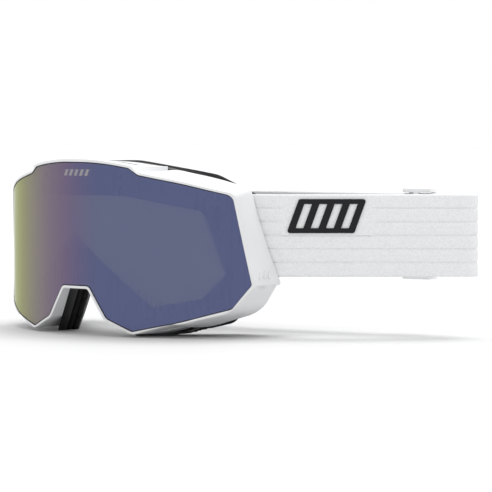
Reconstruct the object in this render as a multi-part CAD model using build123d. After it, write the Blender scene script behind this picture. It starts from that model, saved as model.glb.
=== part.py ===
from build123d import *
import os
from math import atan2, cos, radians, sin, sqrt, tan

# Goggles with one wide curved lens held by magnets, a white moulded shell, layered face foam
# and a wide elastic strap with two sliders. The strap is stored swung to the wearer's left.
# +X is the wearer's left, -Y is the way the wearer looks, +Z is up. The origin is on the table
# under the nose, midway between the two lands that the goggles stand on. Millimetres.

# ---------------------------------------------------------------- driving sizes
LENS_FRONT_Y = -30.0  # foremost point of the lens
LENS_RADIUS = 112.0  # plan curve of the lens's outer face
LENS_THICK = 1.4
LENS_TOP_Z = 85.3
LENS_LOW_Z = 3.0
TAB_HALF = 32.4  # raised brow tab that a thumb pulls
TAB_DROP = 2.7
TAB_STEP = (5.0, 3.4)  # how far the notch beside the tab goes out and down
BROW_KNEE = (58.0, 75.1)
SHOULDER = (77.3, 69.4)
TEMPLE = (83.8, 26.2)
CHEEK_OUT = (77.1, 14.6)
CHEEK_MID = (57.0, 8.0)
CHEEK_LOW_X = 34.3
NOSE_FOOT = (20.0, 9.0)
NOSE_TOP = (9.3, 24.6)

RIM = 1.5  # white lip round the lens
RIM_PROUD = 0.3  # lip in front of the lens's outer face
LENS_GAP = 0.3
GASKET_THICK = 1.2
GASKET_INSET = 1.2
INNER_LENS_THICK = 0.8
INNER_LENS_LAP = 3.0  # inner lens lies this far over the gasket
LEDGE_THICK = 2.2
LEDGE_LAP = 1.0
WALL = 2.4

EYE_TOP_Z = 69.3  # clear view through the gasket
EYE_SHOULDER = (66.0, 62.0)
EYE_TEMPLE = (74.6, 31.5)
EYE_CHEEK_OUT = (66.0, 19.6)
EYE_CHEEK = (50.0, 16.2)
EYE_NOSE = (25.5, 30.5)
EYE_BRIDGE = (8.5, 43.0)
FACE_INSET = 5.0  # the foam's opening is this much smaller than the eye opening

REAR_RADIUS = 138.0  # plan curve of the shell's rear edge
SHELL_DEPTH = 24.0  # lens front to shell rear edge, at the nose
REAR_CROWN = (16.5, 85.6)
REAR_TAB = (33.2, 83.4)
REAR_NOTCH = (40.0, 82.0)
REAR_KNEE = (60.0, 78.0)
REAR_SHOULDER = (75.6, 73.0)
REAR_TEMPLE = (87.2, 26.8)
REAR_CHEEK_OUT = (81.4, 12.6)
REAR_CHEEK_MID = (57.0, 3.1)
REAR_CHEEK_LOW = (35.5, 0.3)
REAR_NOSE_FOOT = (23.0, 8.2)
REAR_NOSE_TOP = (10.2, 24.0)
STEP_BELOW = 0.5  # the side band ends this far below the lens's temple corner
STEP_IN = 0.9  # and stands this far proud of the face below it, at the rear edge

CARRIER_THICK = 6.4  # black ring that carries the foam
SPIGOT_DEPTH = 2.5
SPIGOT_WALL = 1.6
SPIGOT_GAP = 0.25
SPIGOT_HALF = 50.0
FOAM_BASE_THICK = 7.0
FACE_RADIUS = 120.0  # plan curve of the face side
FACE_DEPTH = 48.5  # lens front to fleece front, at the nose
FLEECE_THICK = 1.5
FOAM_CROWN = (16.5, 85.6)
FOAM_KNEE = (40.0, 81.3)
FOAM_SHOULDER = (71.5, 72.2)
FOAM_TEMPLE_TOP = (79.5, 50.0)
FOAM_TEMPLE = (80.5, 28.0)
FOAM_CHEEK_OUT = (71.0, 11.5)
FOAM_SLOPES = [  # the foam is cut away behind these planes: a point, and the way out of the foam
    ((0.0, 20.0, 84.7), (0.113, 0.17, 1.0)),
    ((60.0, 21.1, 75.0), (0.362, 0.38, 1.0)),
    ((60.0, 36.1, 16.5), (0.788, 0.654, -1.0)),
]
LAND = (27.5, 38.0)  # the flat each cheek stands on runs between these
FOAM_NOSE_FOOT = (22.0, 8.0)
FOAM_NOSE_TOP = (10.0, 23.2)

NOSE_RIDGE_Y = -25.5  # the hollow for the nose: its ridge on the face side, at NOSE_RIDGE_Z
NOSE_RIDGE_Z = 10.0
NOSE_SLOPE = 0.45  # how fast the ridge falls back with height, below and above the break
NOSE_SLOPE_UP = 1.5
NOSE_BREAK_Z = 43.0
NOSE_FLANK = 1.05  # how fast the cheeks fall back sideways
NOSE_ROUND = 8.0
NOSE_STACK = (14.5, 8.5, 5.0, 1.0, 0.0)  # shell, carrier, base, face and fleece rears, ahead of it

VENT_WIDE = 13.0
VENT_LONG = 5.0
VENT_BROW = (8.5, 24.0)  # middles of the slots, either side of the nose
VENT_CHEEK = 48.0
VENT_SETBACK = 8.0  # lens front to vent front, along the curve
VENT_FOAM_THICK = 3.0
VENT_FOAM_LAP = 1.5

MAGNET_R = 2.4
FRAME_MAGNET_THICK = 1.5
MAGNET_SPOTS = [(26.0, 75.8), (70.8, 66.2), (72.3, 17.0), (42.5, 11.6)]

STRAP_WIDE = 40.3
STRAP_MID_Z = 49.85
STRAP_THICK = 1.8
STRAP_PLAY = 0.4  # strap to whatever it runs beside
CHANNEL_DEPTH = 3.9  # gap between shell and carrier that the strap leaves by
CHANNEL_HALF = 61.0
PIN_R = 1.25
PIN_INSET = 8.0  # pin from the shell's rear corner line, along the curve
PIN_OVER = 4.2  # pin past each strap edge
PIN_PLAY = 0.2
LUG_HALF = 4.2
LUG_GAP = 0.6

NEAR_ANGLE = 42.7  # plan heading of the near run of the strap, from +X
NEAR_RUN = 92.6
FOLD_WIDTH = 7.0
FOLD_R = 4.4
FAR_ANGLE = 189.7  # plan heading of the far run, from +X
TURN_OUT = (-90.0, 56.0)  # where the far run turns round the foam's corner
TURN_BACK = (-97.5, 36.0)
TURN_R = 12.0

SLIDER_LONG = 15.5
SLIDER_RAIL = 1.85
SLIDER_BAR = 2.8
SLIDER_BAR_THICK = 1.4
SLIDER_PLAY = 0.4
SLIDER_EDGE_R = 0.6
SLIDER_A_AT = 32.0  # both from the fold, along the far run
SLIDER_B_AT = 156.5
OVERLAP = 18.0  # strap ends run this far past the slider's middle
PLY_GAP = 0.5

BADGE_LONG = 33.0
BADGE_WIDE = 16.6
BADGE_THICK = 0.7
BADGE_LEAN = 20.0  # degrees
BADGE_CORNER_R = 1.2
BADGE_WINDOWS = 4
BADGE_PITCH = 7.4
BADGE_BAR = 3.6
BADGE_RIM = 2.4
BADGE_AT = 20.4  # badge middle from the shell, along the near run
BADGE_Z = 59.4

SEAT_GAP = 0.2  # gasket to ledge
SEAT_DEPTH = LENS_THICK + GASKET_THICK + SEAT_GAP
LEDGE_BACK = SEAT_DEPTH + LEDGE_THICK
BOTTOM, TOP = -20.0, 120.0  # heights that every cutting solid spans
FAR_Y = 60.0  # rear limit of cutting solids: front half of the big cylinders only


# ---------------------------------------------------------------- outlines
def corner(point, radius):
    return (point[0], point[1], radius)


def whole(half):
    """Closed outline, clockwise from the top, of a right half given from crown to nose."""
    return half + [(-x, z, r) for x, z, r in reversed(half)]


def grown(points, by):
    """The closed outline moved outwards by a distance, corner radii included."""
    out = []
    for i, (x, z, r) in enumerate(points):
        px, pz, _ = points[i - 1]
        nx, nz, _ = points[(i + 1) % len(points)]
        a, b = atan2(z - pz, x - px), atan2(nz - z, nx - x)
        turn = (b - a + radians(180)) % radians(360) - radians(180)
        reach = by / cos(turn / 2)
        side = a + turn / 2 + radians(90)
        bigger = r + by if turn < 0 else r - by
        out.append((x + reach * cos(side), z + reach * sin(side), max(bigger, 0.5)))
    return out


LENS = whole(
    [
        (TAB_HALF / 2, LENS_TOP_Z, 150.0),
        (TAB_HALF, LENS_TOP_Z - TAB_DROP, 1.5),
        (TAB_HALF + TAB_STEP[0], LENS_TOP_Z - TAB_DROP - TAB_STEP[1], 1.5),
        corner(BROW_KNEE, 140.0),
        corner(SHOULDER, 4.0),
        corner(TEMPLE, 2.0),
        corner(CHEEK_OUT, 2.5),
        corner(CHEEK_MID, 110.0),
        (CHEEK_LOW_X, LENS_LOW_Z, 3.0),
        corner(NOSE_FOOT, 4.0),
        corner(NOSE_TOP, 3.5),
    ]
)
REAR = whole(
    [
        corner(REAR_CROWN, 150.0),
        corner(REAR_TAB, 40.0),
        corner(REAR_NOTCH, 40.0),
        corner(REAR_KNEE, 100.0),
        corner(REAR_SHOULDER, 4.5),
        corner(REAR_TEMPLE, 2.0),
        corner(REAR_CHEEK_OUT, 18.0),
        corner(REAR_CHEEK_MID, 60.0),
        corner(REAR_CHEEK_LOW, 8.0),
        corner(REAR_NOSE_FOOT, 5.0),
        corner(REAR_NOSE_TOP, 4.0),
    ]
)
EYE = whole(
    [
        (30.0, EYE_TOP_Z, 140.0),
        corner(EYE_SHOULDER, 7.0),
        corner(EYE_TEMPLE, 4.0),
        corner(EYE_CHEEK_OUT, 9.0),
        corner(EYE_CHEEK, 14.0),
        corner(EYE_NOSE, 22.0),
        corner(EYE_BRIDGE, 9.0),
    ]
)
FOAM = whole(
    [
        corner(FOAM_CROWN, 150.0),
        corner(FOAM_KNEE, 120.0),
        corner(FOAM_SHOULDER, 8.0),
        corner(FOAM_TEMPLE_TOP, 30.0),
        corner(FOAM_TEMPLE, 20.0),
        corner(FOAM_CHEEK_OUT, 14.0),
        (LAND[1], 0.0, 14.0),
        (LAND[0], 0.0, 3.0),
        corner(FOAM_NOSE_FOOT, 4.0),
        corner(FOAM_NOSE_TOP, 4.0),
    ]
)


def outline_wire(points, y):
    """Closed wire of an outline, at one y."""
    line = FilletPolyline(
        *[(x, y, z) for x, z, _ in points], radius=[r for _, _, r in points], close=True
    )
    return Wire(line.edges())


def prism(points):
    """The outline carried straight through from front to back."""
    front = LENS_FRONT_Y - 15
    face = Face(outline_wire(points, front))
    return Solid.extrude(face, Vector(0, FAR_Y - front, 0))


# ---------------------------------------------------------------- curved slabs
def drum(radius, front_y):
    """Upright cylinder whose foremost line is at front_y."""
    return Pos(0, front_y + radius, (TOP + BOTTOM) / 2) * Cylinder(radius, TOP - BOTTOM)


def behind_only(solid):
    """Drops what a drum has past the back of the goggles."""
    span = 2 * LENS_RADIUS
    keep = Pos(0, FAR_Y - span / 2, (TOP + BOTTOM) / 2) * Box(2 * span, span, TOP - BOTTOM)
    return solid & keep


def lens_shell(depth, thick):
    """Layer that follows the lens's curve, from one depth behind its outer face."""
    axis_y = LENS_FRONT_Y + LENS_RADIUS
    outer = Pos(0, axis_y, (TOP + BOTTOM) / 2) * Cylinder(LENS_RADIUS - depth, TOP - BOTTOM)
    inner = Pos(0, axis_y, (TOP + BOTTOM) / 2) * Cylinder(LENS_RADIUS - depth - thick, TOP - BOTTOM)
    return behind_only(outer - inner)


def nose_wedge(ahead):
    """Hollow for the nose, open to the rear: a rounded V in plan that slopes back as it rises."""
    reach = 90.0
    runs = [(BOTTOM, NOSE_BREAK_Z, NOSE_SLOPE), (NOSE_BREAK_Z, TOP, NOSE_SLOPE_UP)]
    ridge_y = NOSE_RIDGE_Y - ahead + NOSE_SLOPE * (BOTTOM - NOSE_RIDGE_Z)
    solid = None
    for low, high, slope in runs:
        points = [(-reach, ridge_y + NOSE_FLANK * reach, low), (0, ridge_y, low)]
        points.append((reach, ridge_y + NOSE_FLANK * reach, low))
        vee = FilletPolyline(*points, radius=[NOSE_ROUND])
        back = Line(points[2], points[0])
        face = Face(Wire(vee.edges() + back.edges()))
        prong = Solid.extrude(face, Vector(0, slope * (high - low), high - low))
        solid = prong if solid is None else solid + prong
        ridge_y = ridge_y + slope * (high - low)
    return behind_only(solid)


def behind(radius, depth, ahead):
    """All that lies behind one layer of the stack, nose hollow included, and behind the ledge."""
    space = behind_only(drum(radius, LENS_FRONT_Y + depth)) + nose_wedge(ahead)
    return space & drum(LENS_RADIUS - LEDGE_BACK, LENS_FRONT_Y + LEDGE_BACK)


def lens_y(x):
    return LENS_FRONT_Y + LENS_RADIUS - sqrt(LENS_RADIUS**2 - x**2)


def rear_y(x):
    return LENS_FRONT_Y + SHELL_DEPTH + REAR_RADIUS - sqrt(REAR_RADIUS**2 - x**2)


# ---------------------------------------------------------------- shell
FLARE_FRONT_Y = LENS_FRONT_Y - 6
FLARE_REAR_Y = LENS_FRONT_Y + 64


def flared(front, rear):
    """Solid whose walls run from the front outline, on the lens's curve, to the rear outline."""
    wires = []
    for y in (FLARE_FRONT_Y, FLARE_REAR_Y):
        ring = []
        for (fx, fz, fr), (rx, rz, rr) in zip(front, rear):
            fy, ry = lens_y(fx), rear_y(rx)
            share = (y - fy) / (ry - fy)
            radius = fr if y == FLARE_FRONT_Y else rr
            ring.append((fx + share * (rx - fx), fz + share * (rz - fz), radius))
        wires.append(outline_wire(ring, y))
    return Solid.make_loft(wires, ruled=True)


BASE_DEPTH = SHELL_DEPTH + CARRIER_THICK
BEHIND_SHELL = behind(REAR_RADIUS, SHELL_DEPTH, NOSE_STACK[0])
BEHIND_CARRIER = behind(REAR_RADIUS, BASE_DEPTH, NOSE_STACK[1])
BEHIND_BASE = behind(REAR_RADIUS, BASE_DEPTH + FOAM_BASE_THICK, NOSE_STACK[2])
BEHIND_FACE = behind(FACE_RADIUS, FACE_DEPTH, NOSE_STACK[3])
BEHIND_FLEECE = behind(FACE_RADIUS, FACE_DEPTH + FLEECE_THICK, NOSE_STACK[4])
OUTER = flared(grown(LENS, RIM), REAR)
OUTER_LOW = flared(grown(LENS, RIM), grown(REAR, -STEP_IN))
INNER = flared(grown(LENS, RIM - WALL), grown(REAR, -WALL))


def pin_ends(side):
    """Top and bottom of one strap pin, parallel to the shell's slanted rear corner."""
    reach = STRAP_WIDE / 2 + PIN_OVER
    run = (REAR_TEMPLE[0] - REAR_SHOULDER[0]) / (REAR_SHOULDER[1] - REAR_TEMPLE[1])
    ends = []
    for z in (STRAP_MID_Z + reach, STRAP_MID_Z - reach):
        x = REAR_TEMPLE[0] - run * (z - REAR_TEMPLE[1]) - PIN_INSET
        ends.append(Vector(side * x, rear_y(x) + STRAP_PLAY + STRAP_THICK - LOOP_R, z))
    return ends


LOOP_R = PIN_R + PIN_PLAY + 1.7  # strap loop round the pin, outside


def rod(start, end, radius):
    """Round bar between two points."""
    along = end - start
    return Plane(origin=start, z_dir=along) * Cylinder(radius, along.length, align=(Align.CENTER, Align.CENTER, Align.MIN))


def lugs(side):
    """Blocks inside the shell that hold the two ends of a strap pin."""
    top, low = pin_ends(side)
    gap = STRAP_WIDE / 2 + LUG_GAP
    tall = PIN_OVER + 3.5
    upper = Pos(top.X, top.Y - 1, STRAP_MID_Z + gap + tall / 2) * Box(2 * LUG_HALF, 1.6 * LUG_HALF, tall)
    wide = REAR_TEMPLE[0] - abs(low.X) + LUG_HALF
    lower = Pos(low.X + side * (wide / 2 - LUG_HALF), low.Y - 1, STRAP_MID_Z - gap - PIN_OVER / 2)
    return upper + lower * Box(wide, 1.6 * LUG_HALF, PIN_OVER)


def vents():
    """Slots through the brow and the cheeks."""
    band = lens_shell(VENT_SETBACK, VENT_LONG)
    cuts = []
    for side in (1, -1):
        for x in VENT_BROW:
            cuts.append(Pos(side * x, 0, TOP - 20) * Box(VENT_WIDE, 200, 70))
        cuts.append(Pos(side * VENT_CHEEK, 0, 0) * Box(VENT_WIDE, 200, 22))
    return [band & cut for cut in cuts]


def spot_plane(x, z, depth):
    """Plane on the lens's curve at a depth, facing backwards along the curve's normal."""
    away = Vector(-x, sqrt(LENS_RADIUS**2 - x**2), 0).normalized()
    return Plane(origin=Vector(x, lens_y(x), z) + away * depth, z_dir=away)


def discs(depth, thick, radius):
    """One disc at each magnet spot, on both sides of the nose."""
    base = (Align.CENTER, Align.CENTER, Align.MIN)
    spots = [(side * x, z) for x, z in MAGNET_SPOTS for side in (1, -1)]
    return [spot_plane(x, z, depth) * Cylinder(radius, thick, align=base) for x, z in spots]


def make_shell():
    front = drum(LENS_RADIUS + RIM_PROUD, LENS_FRONT_Y - RIM_PROUD)
    crescent = behind_only(front) - BEHIND_SHELL
    step_z = TEMPLE[1] - STEP_BELOW
    below = Pos(0, 0, (step_z + BOTTOM) / 2) * Box(300, 250, step_z - BOTTOM)
    body = (OUTER & crescent) - (below - OUTER_LOW)
    recess = prism(grown(LENS, LENS_GAP)) & lens_shell(-RIM_PROUD - 1, SEAT_DEPTH + RIM_PROUD + 1)
    hollow = INNER & behind_only(drum(LENS_RADIUS - LEDGE_BACK, LENS_FRONT_Y + LEDGE_BACK))
    body = body - recess - hollow - prism(grown(EYE, LEDGE_LAP))
    for side in (1, -1):
        body = body + (lugs(side) & OUTER_LOW & crescent)
        body = body - rod(*pin_ends(side), PIN_R)
    for cut in vents():
        body = body - cut
    for pocket in discs(SEAT_DEPTH - 0.01, FRAME_MAGNET_THICK + 0.01, MAGNET_R):
        body = body - pocket
    return body


# ---------------------------------------------------------------- lens unit
def make_lens():
    return prism(LENS) & lens_shell(0, LENS_THICK)


def make_gasket():
    ring = (prism(grown(LENS, -GASKET_INSET)) - prism(EYE)) & lens_shell(LENS_THICK, GASKET_THICK)
    for hole in discs(LENS_THICK - 0.3, GASKET_THICK + 0.6, MAGNET_R):
        ring = ring - hole
    return ring


def make_inner_lens():
    depth = LENS_THICK + GASKET_THICK
    return prism(grown(EYE, LEDGE_LAP - LENS_GAP)) & lens_shell(depth, INNER_LENS_THICK)


def make_lens_discs():
    layer = lens_shell(LENS_THICK, GASKET_THICK)
    return [disc & layer for disc in discs(LENS_THICK - 0.3, GASKET_THICK + 0.6, MAGNET_R)]


# ---------------------------------------------------------------- face side
def foam_ring():
    """The whole stack behind the shell, before it is cut into layers."""
    ring = prism(FOAM) - prism(grown(EYE, -FACE_INSET))
    for (x, y, z), (nx, ny, nz) in FOAM_SLOPES:
        for side in (1, -1):
            plane = Plane(origin=(side * x, y, z), z_dir=(side * nx, ny, nz))
            ring = ring - plane * Box(300, 300, 90, align=(Align.CENTER, Align.CENTER, Align.MIN))
    return ring


def make_carrier():
    ring = (foam_ring() & BEHIND_SHELL) - BEHIND_CARRIER
    channel = BEHIND_SHELL - behind(REAR_RADIUS, SHELL_DEPTH + CHANNEL_DEPTH, NOSE_STACK[0])
    for side in (1, -1):
        cut = Pos(side * (CHANNEL_HALF + 25), 0, STRAP_MID_Z) * Box(50, 200, STRAP_WIDE + 2 * PIN_OVER + 2)
        ring = ring - (channel & cut)
    edge = grown(REAR, -WALL - SPIGOT_GAP - 0.6)
    spigot = prism(edge) - prism(grown(edge, -SPIGOT_WALL))
    seat = behind(REAR_RADIUS, SHELL_DEPTH - SPIGOT_DEPTH, NOSE_STACK[0]) - BEHIND_SHELL
    brow = Pos(0, 0, STRAP_MID_Z + 50) * Box(2 * SPIGOT_HALF, 200, 100)
    return ring + (spigot & seat & INNER_FIT & brow)


INNER_FIT = flared(grown(LENS, RIM - WALL - SPIGOT_GAP), grown(REAR, -WALL - SPIGOT_GAP))


def make_foam_base():
    return (foam_ring() & BEHIND_CARRIER) - BEHIND_BASE


def make_foam_face():
    return (foam_ring() & BEHIND_BASE) - BEHIND_FACE


def make_fleece():
    return (foam_ring() & BEHIND_FACE) - BEHIND_FLEECE


def vent_foam(low_z, high_z, half):
    """Strip of open foam that covers one row of vents from inside the shell."""
    band = lens_shell(VENT_SETBACK - VENT_FOAM_LAP, VENT_LONG + 2 * VENT_FOAM_LAP)
    ring = INNER_VENT - prism(grown(LENS, RIM - WALL - VENT_FOAM_THICK))
    box = Pos(0, 0, (low_z + high_z) / 2) * Box(2 * half, 200, high_z - low_z)
    return ring & band & box


INNER_VENT = flared(grown(LENS, RIM - WALL - 0.05), grown(REAR, -WALL - 0.05))


# ---------------------------------------------------------------- strap
def heading(angle):
    return Vector(cos(radians(angle)), sin(radians(angle)), 0)


REAR_CORNER_X = REAR_TEMPLE[0]
EXIT = Vector(REAR_CORNER_X + 0.7, rear_y(REAR_CORNER_X) + 2.0, 0)
START = Vector(REAR_SHOULDER[0] - PIN_INSET, rear_y(REAR_SHOULDER[0] - PIN_INSET) + 1.6, 0)
FOLD_NEAR = EXIT + heading(NEAR_ANGLE) * NEAR_RUN
FOLD_TURN = (NEAR_ANGLE + FAR_ANGLE) / 2
FOLD_FAR = FOLD_NEAR + heading(FOLD_TURN) * FOLD_WIDTH
FAR_DIR = heading(FAR_ANGLE)
FAR_SIDE = heading(FAR_ANGLE + 90)  # towards the goggles


def far_point(distance, aside=0.0):
    """A point on the far run, by distance from the fold."""
    return FOLD_FAR + FAR_DIR * distance + FAR_SIDE * aside


def band(points, radii, wide=STRAP_WIDE, thick=STRAP_THICK):
    """Flat strap on edge that follows a plan route."""
    if radii:
        line = FilletPolyline(*points, radius=radii)
    else:
        line = Line(*points)
    path = Wire(line.edges())
    section = Plane(origin=path @ 0, x_dir=(0, 0, 1), z_dir=path % 0) * Rectangle(wide, thick)
    return Pos(0, 0, STRAP_MID_Z) * sweep(section, path=path)


def strap_loop(side, strap):
    """Ends a strap in a loop round its pin, cut at the pin's slant."""
    top, low = pin_ends(side)
    start = Vector(side * START.X, START.Y, 0)
    leave = Vector(side * EXIT.X, EXIT.Y, 0)
    along = (leave - start).normalized()
    slant = (top - low).normalized()
    facing = (along - slant * along.dot(slant)).normalized()
    cut = Plane(origin=low, x_dir=slant, z_dir=facing)
    trimmed = strap - cut * Box(160, 30, 30, align=(Align.CENTER, Align.CENTER, Align.MAX))
    tall = Pos(side * START.X, START.Y, STRAP_MID_Z) * Box(60, 60, STRAP_WIDE)
    loop = rod(low - slant * 3, top + slant * 3, LOOP_R) & tall
    return trimmed + loop - rod(low - slant * 9, top + slant * 9, PIN_R + PIN_PLAY)


def make_strap_left():
    ends_at = far_point(SLIDER_A_AT + OVERLAP)
    route = [START - (EXIT - START) * 0.15, EXIT, FOLD_NEAR, FOLD_FAR, ends_at]
    return strap_loop(1, band(route, [20.0, FOLD_R, FOLD_R]))


def make_strap_right():
    begin = Vector(-START.X, START.Y, 0)
    leave = Vector(-EXIT.X, EXIT.Y, 0)
    turn_back = Vector(*TURN_BACK, 0)
    turn_out = far_point((FOLD_FAR.X - TURN_OUT[0]) / abs(FAR_DIR.X))
    ends_at = far_point(SLIDER_B_AT - OVERLAP)
    route = [begin - (leave - begin) * 0.15, leave, turn_back, turn_out, ends_at]
    return strap_loop(-1, band(route, [4.0, TURN_R, TURN_R]))


PLY = STRAP_THICK + PLY_GAP  # the rear strap lies this far inside the others


def make_strap_rear():
    return band([far_point(SLIDER_A_AT - OVERLAP, PLY), far_point(SLIDER_B_AT + OVERLAP, PLY)], [])


def make_slider(distance):
    """Three-bar slider: two bars outside the plies, one inside, joined by two rails."""
    outer = STRAP_THICK / 2 + SLIDER_PLAY
    inner = PLY + STRAP_THICK / 2 + SLIDER_PLAY
    deep = outer + inner + 2 * SLIDER_BAR_THICK
    middle = (inner - outer) / 2
    inside = STRAP_WIDE / 2 + SLIDER_PLAY
    rail_z = inside + SLIDER_RAIL / 2
    tall = 2 * (inside + SLIDER_RAIL)
    rail = Box(SLIDER_LONG, deep, SLIDER_RAIL)
    rail = fillet(rail.edges().filter_by(Axis.Z), SLIDER_EDGE_R)
    body = Pos(0, middle, rail_z) * rail + Pos(0, middle, -rail_z) * rail
    bar = Box(SLIDER_BAR, SLIDER_BAR_THICK, tall)
    edge = SLIDER_LONG / 2 - SLIDER_BAR / 2
    back = -outer - SLIDER_BAR_THICK / 2
    body = body + Pos(edge, back, 0) * bar + Pos(-edge, back, 0) * bar
    body = body + Pos(0, inner + SLIDER_BAR_THICK / 2, 0) * bar
    at = far_point(distance)
    place = Plane(origin=(at.X, at.Y, STRAP_MID_Z), x_dir=FAR_DIR, z_dir=(0, 0, 1))
    return place * body


def slanted(middle, wide, tall):
    """Parallelogram that leans by BADGE_LEAN."""
    lean = tall * tan(radians(BADGE_LEAN)) / 2
    low_x, high_x = middle - wide / 2, middle + wide / 2
    points = [(low_x - lean, -tall / 2), (high_x - lean, -tall / 2)]
    points = points + [(high_x + lean, tall / 2), (low_x + lean, tall / 2)]
    return Polygon(*points, align=None)


def make_badge():
    """Flat rubber badge on the strap: a slanted plate with a row of slanted windows."""
    along = heading(NEAR_ANGLE)
    out = heading(NEAR_ANGLE - 90)
    at = EXIT + along * BADGE_AT + out * (STRAP_THICK / 2)
    plane = Plane(origin=(at.X, at.Y, BADGE_Z), x_dir=along, z_dir=out)
    plate = fillet(slanted(0, BADGE_LONG, BADGE_WIDE).vertices(), BADGE_CORNER_R)
    for k in range(BADGE_WINDOWS):
        middle = (k - (BADGE_WINDOWS - 1) / 2) * BADGE_PITCH
        plate = plate - slanted(middle, BADGE_PITCH - BADGE_BAR, BADGE_WIDE - 2 * BADGE_RIM)
    return plane * extrude(plate, BADGE_THICK)


# ---------------------------------------------------------------- writing
def save(name, shape):
    """Writes one node, as its solids alone."""
    items = shape if isinstance(shape, list) else [shape]
    solids = [s for item in items for s in item.solids()]
    whole_shape = solids[0] if len(solids) == 1 else Compound(children=solids)
    export_step(whole_shape, f"parts/{name}.step")
    print(name, len(solids), "solids", round(sum(s.volume for s in solids)), "mm3")


def main():
    os.makedirs("parts", exist_ok=True)
    save("frame_shell", make_shell())
    save("lens_outer", make_lens())
    save("lens_gasket", make_gasket())
    save("lens_inner", make_inner_lens())
    save("lens_magnets", make_lens_discs())
    save("frame_magnets", discs(SEAT_DEPTH, FRAME_MAGNET_THICK, MAGNET_R))
    save("foam_carrier", make_carrier())
    save("foam_base", make_foam_base())
    save("foam_face", make_foam_face())
    save("foam_fleece", make_fleece())
    half = VENT_WIDE / 2 + VENT_FOAM_LAP
    save("vent_foam_top", vent_foam(60, 110, VENT_BROW[-1] + half))
    middle = Pos(0, 0, 0) * Box(2 * (VENT_CHEEK - half), 200, 100)
    save("vent_foam_cheeks", vent_foam(-20, 24, VENT_CHEEK + half) - middle)
    for side, name in ((1, "left"), (-1, "right")):
        save(f"strap_pin_{name}", rod(*pin_ends(side), PIN_R))
    save("strap_left", make_strap_left())
    save("strap_right", make_strap_right())
    save("strap_rear", make_strap_rear())
    save("slider_left", make_slider(SLIDER_A_AT))
    save("slider_right", make_slider(SLIDER_B_AT))
    save("strap_badge", make_badge())


main()
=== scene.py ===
# %% [markdown]
# # Goggles with one wide mirrored lens
# The real object is a stack. A curved mirrored lens sits in a white moulded shell. Behind the
# shell come a black carrier, two layers of foam and a fleece that touches the face. A wide
# ribbed strap of woven elastic runs round the head, with two sliders that set its length.
# The hard pieces come from the CAD frame as they are, and get their finish here. The soft ones
# are rebuilt here, because a plain solid can't show foam, fleece or weave.

# %% Load the frame
from math import atan2, cos, pi, radians, sin, sqrt, tan

import bmesh
import bpy
from mathutils import Matrix, Vector
from mathutils.bvhtree import BVHTree

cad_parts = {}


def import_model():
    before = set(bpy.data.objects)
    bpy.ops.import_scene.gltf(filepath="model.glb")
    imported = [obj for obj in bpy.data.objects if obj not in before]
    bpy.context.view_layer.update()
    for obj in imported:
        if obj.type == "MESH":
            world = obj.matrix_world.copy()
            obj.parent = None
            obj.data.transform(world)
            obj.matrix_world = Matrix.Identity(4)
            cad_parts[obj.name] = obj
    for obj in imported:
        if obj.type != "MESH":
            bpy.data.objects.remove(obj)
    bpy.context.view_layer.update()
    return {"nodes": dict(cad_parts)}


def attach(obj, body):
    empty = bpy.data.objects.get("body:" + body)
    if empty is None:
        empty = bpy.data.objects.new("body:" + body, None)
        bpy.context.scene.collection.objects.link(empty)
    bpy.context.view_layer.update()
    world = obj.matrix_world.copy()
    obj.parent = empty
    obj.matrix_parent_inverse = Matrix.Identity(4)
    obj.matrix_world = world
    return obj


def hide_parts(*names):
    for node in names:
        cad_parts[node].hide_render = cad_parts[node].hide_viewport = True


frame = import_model()
nodes = frame["nodes"]

# %% [markdown]
# ## The camera
# A long lens from a metre and a half away keeps the near and far halves of the strap almost the
# same height. It stands to the wearer's left of the nose and a little above the table.

# %% Camera
MM = 0.001
VIEW_AZIMUTH, VIEW_ELEVATION = radians(42.7), radians(2.5)
VIEW_DISTANCE = 1500 * MM
FOCAL_LENGTH, SENSOR_WIDTH = 222.3, 36
AIM = Vector((62.04, 27.24, 44.0)) * MM

toward_camera = Vector((
    sin(VIEW_AZIMUTH) * cos(VIEW_ELEVATION),
    -cos(VIEW_AZIMUTH) * cos(VIEW_ELEVATION),
    sin(VIEW_ELEVATION),
))
camera = bpy.data.objects.new("camera", bpy.data.cameras.new("camera"))
bpy.context.scene.collection.objects.link(camera)
camera.data.sensor_width = SENSOR_WIDTH
camera.data.lens = FOCAL_LENGTH
camera.data.clip_start, camera.data.clip_end = 0.05, 20
camera.location = AIM + toward_camera * VIEW_DISTANCE
camera.rotation_euler = (-toward_camera).to_track_quat("-Z", "Y").to_euler()
bpy.context.scene.camera = camera
print("camera at", [round(v, 4) for v in camera.location])

# %% [markdown]
# ## Light, floor and backdrop
# White plastic on a white table is lit by a bright room all round, so its sides stay pale and
# only the places where it nearly touches the table go dark. A very broad lamp, high and a little
# behind, lifts the upward faces above the rest and drops a soft shadow towards the viewer.

# %% Stage
FLOOR_HALF = 6.0
LAMP_PLACE, LAMP_TARGET = Vector((0.0, 0.28, 1.0)), Vector((0.1, 0.0, 0.0))
LAMP_ENERGY, LAMP_SPREAD = 2.1, radians(38)


def add_object(name, mesh):
    thing = bpy.data.objects.new(name, mesh)
    bpy.context.scene.collection.objects.link(thing)
    return thing


def mesh_from(shape, name):
    """Turns a finished bmesh into an object, with its faces shaded smooth."""
    mesh = bpy.data.meshes.new(name)
    shape.to_mesh(mesh)
    shape.free()
    for face in mesh.polygons:
        face.use_smooth = True
    return add_object(name, mesh)


sheet = bmesh.new()
bmesh.ops.create_grid(sheet, x_segments=1, y_segments=1, size=FLOOR_HALF)
floor = mesh_from(sheet, "floor")

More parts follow.
